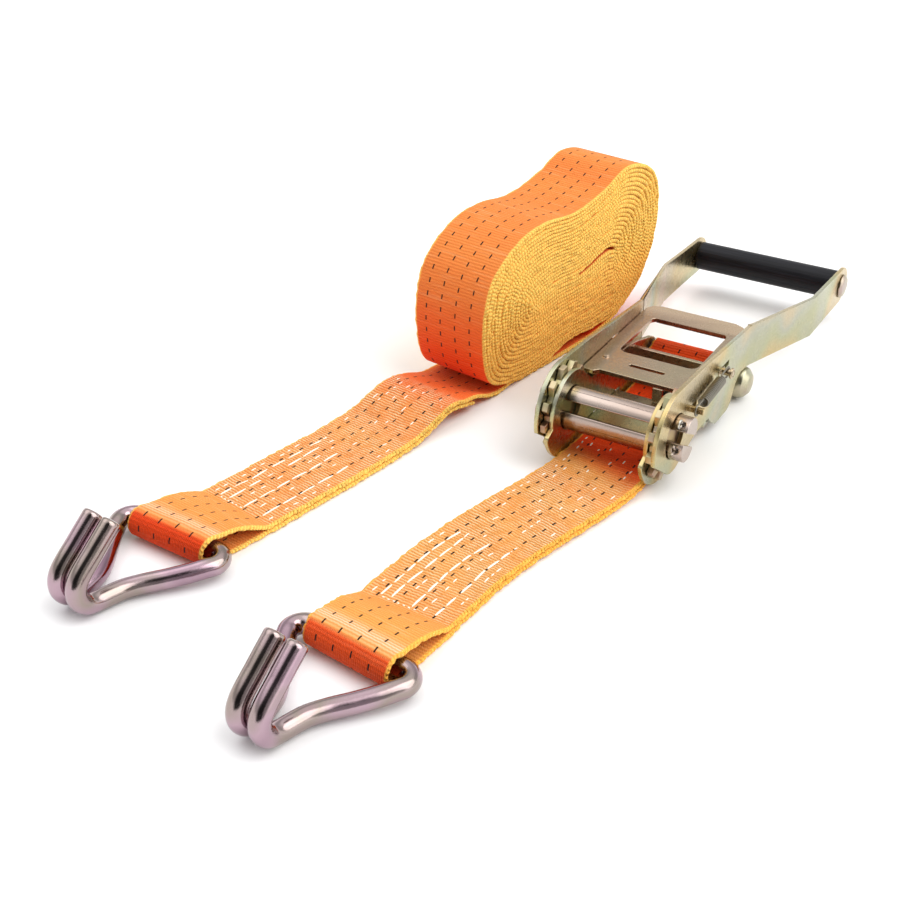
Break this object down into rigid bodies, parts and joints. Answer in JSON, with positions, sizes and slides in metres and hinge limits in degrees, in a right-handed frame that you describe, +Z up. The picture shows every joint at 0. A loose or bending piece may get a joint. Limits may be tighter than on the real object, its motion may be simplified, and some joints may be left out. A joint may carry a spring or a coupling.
{
  "type": "ratchet tie down",
  "caption": "Cargo ratchet strap: long-lever ratchet with a short sewn strap and claw hook, and a long webbing strap with its own claw hook, wound into a roll.",
  "frame": {"origin": "middle of the underside of the whole object's box, as it lies on the floor", "axes": "+Z up; +X along the drum axis, towards the side with the bolt head; +Y from the hooks towards the grip"},
  "size_m": [0.243, 0.532, 0.1047],
  "materials": {
    "zinc": "yellow zinc plated, satin",
    "wheel_zinc": "yellow zinc plated, satin",
    "drum_steel": "bright zinc",
    "bolt_zinc": "bright zinc",
    "spring_steel": "dark oiled",
    "hook_zinc": "glossy iridescent zinc",
    "black_plastic": "satin black",
    "webbing": "woven polyester webbing with black marker threads and white stitching",
    "webbing_roll": "woven polyester webbing, seen on its edges"
  },
  "bodies": {
    "base": {"frame": "zinc", "frame_pawl_spring": "spring_steel", "rear_bolt": "bolt_zinc", "rear_nut": "bolt_zinc", "short_strap": "webbing", "long_strap": "webbing", "strap_roll": "webbing_roll"},
    "drum": {"drum_half_upper": "drum_steel", "drum_half_lower": "drum_steel", "ratchet_wheel_left": "wheel_zinc", "ratchet_wheel_right": "wheel_zinc", "cotter_pin_upper_left": "drum_steel", "cotter_pin_lower_left": "drum_steel", "cotter_pin_upper_right": "drum_steel", "cotter_pin_lower_right": "drum_steel"},
    "handle": {"handle_arm_left": "zinc", "handle_arm_right": "zinc", "grip_axle": "drum_steel", "drive_pawl_spring_left": "spring_steel", "drive_pawl_spring_right": "spring_steel"},
    "grip": {"grip": "black_plastic"},
    "drive_pawl": {"drive_pawl": "zinc"},
    "frame_pawl": {"frame_pawl": "zinc"},
    "hook_short": {"hook_short": "hook_zinc"},
    "hook_long": {"hook_long": "hook_zinc"}
  },
  "joints": [
    {"name": "handle_swing", "type": "hinge", "parent": "base", "child": "handle", "pos_m": [0.06854, 0.0161, 0.0285], "axis": [1, 0, 0], "range_deg": [0, 165]},
    {"name": "drum_turn", "type": "hinge", "parent": "base", "child": "drum", "pos_m": [0.06854, 0.0161, 0.0285], "axis": [1, 0, 0], "continuous": true},
    {"name": "grip_turn", "type": "hinge", "parent": "handle", "child": "grip", "pos_m": [0.06854, 0.2541, 0.0245], "axis": [1, 0, 0], "continuous": true},
    {"name": "drive_pawl_slide", "type": "slide", "parent": "handle", "child": "drive_pawl", "axis": [0, 1, 0], "range_m": [0, 0.008], "stiffness_N_per_m": 1200, "springref_m": -0.006, "deforming": ["drive_pawl_spring_left", "drive_pawl_spring_right"]},
    {"name": "frame_pawl_slide", "type": "slide", "parent": "base", "child": "frame_pawl", "axis": [0, 1, 0], "range_m": [0, 0.005], "stiffness_N_per_m": 1200, "springref_m": -0.006, "deforming": ["frame_pawl_spring"]},
    {"name": "hook_short_swing", "type": "hinge", "parent": "base", "child": "hook_short", "pos_m": [0.04226, -0.19151, 0.0081], "axis": [-0.9957, 0.0923, 0], "range_deg": [0, 110]},
    {"name": "hook_long_swing", "type": "hinge", "parent": "base", "child": "hook_long", "pos_m": [-0.08271, -0.1644, 0.0081], "axis": [-0.995, 0.0998, 0], "range_deg": [0, 110]}
  ]
}
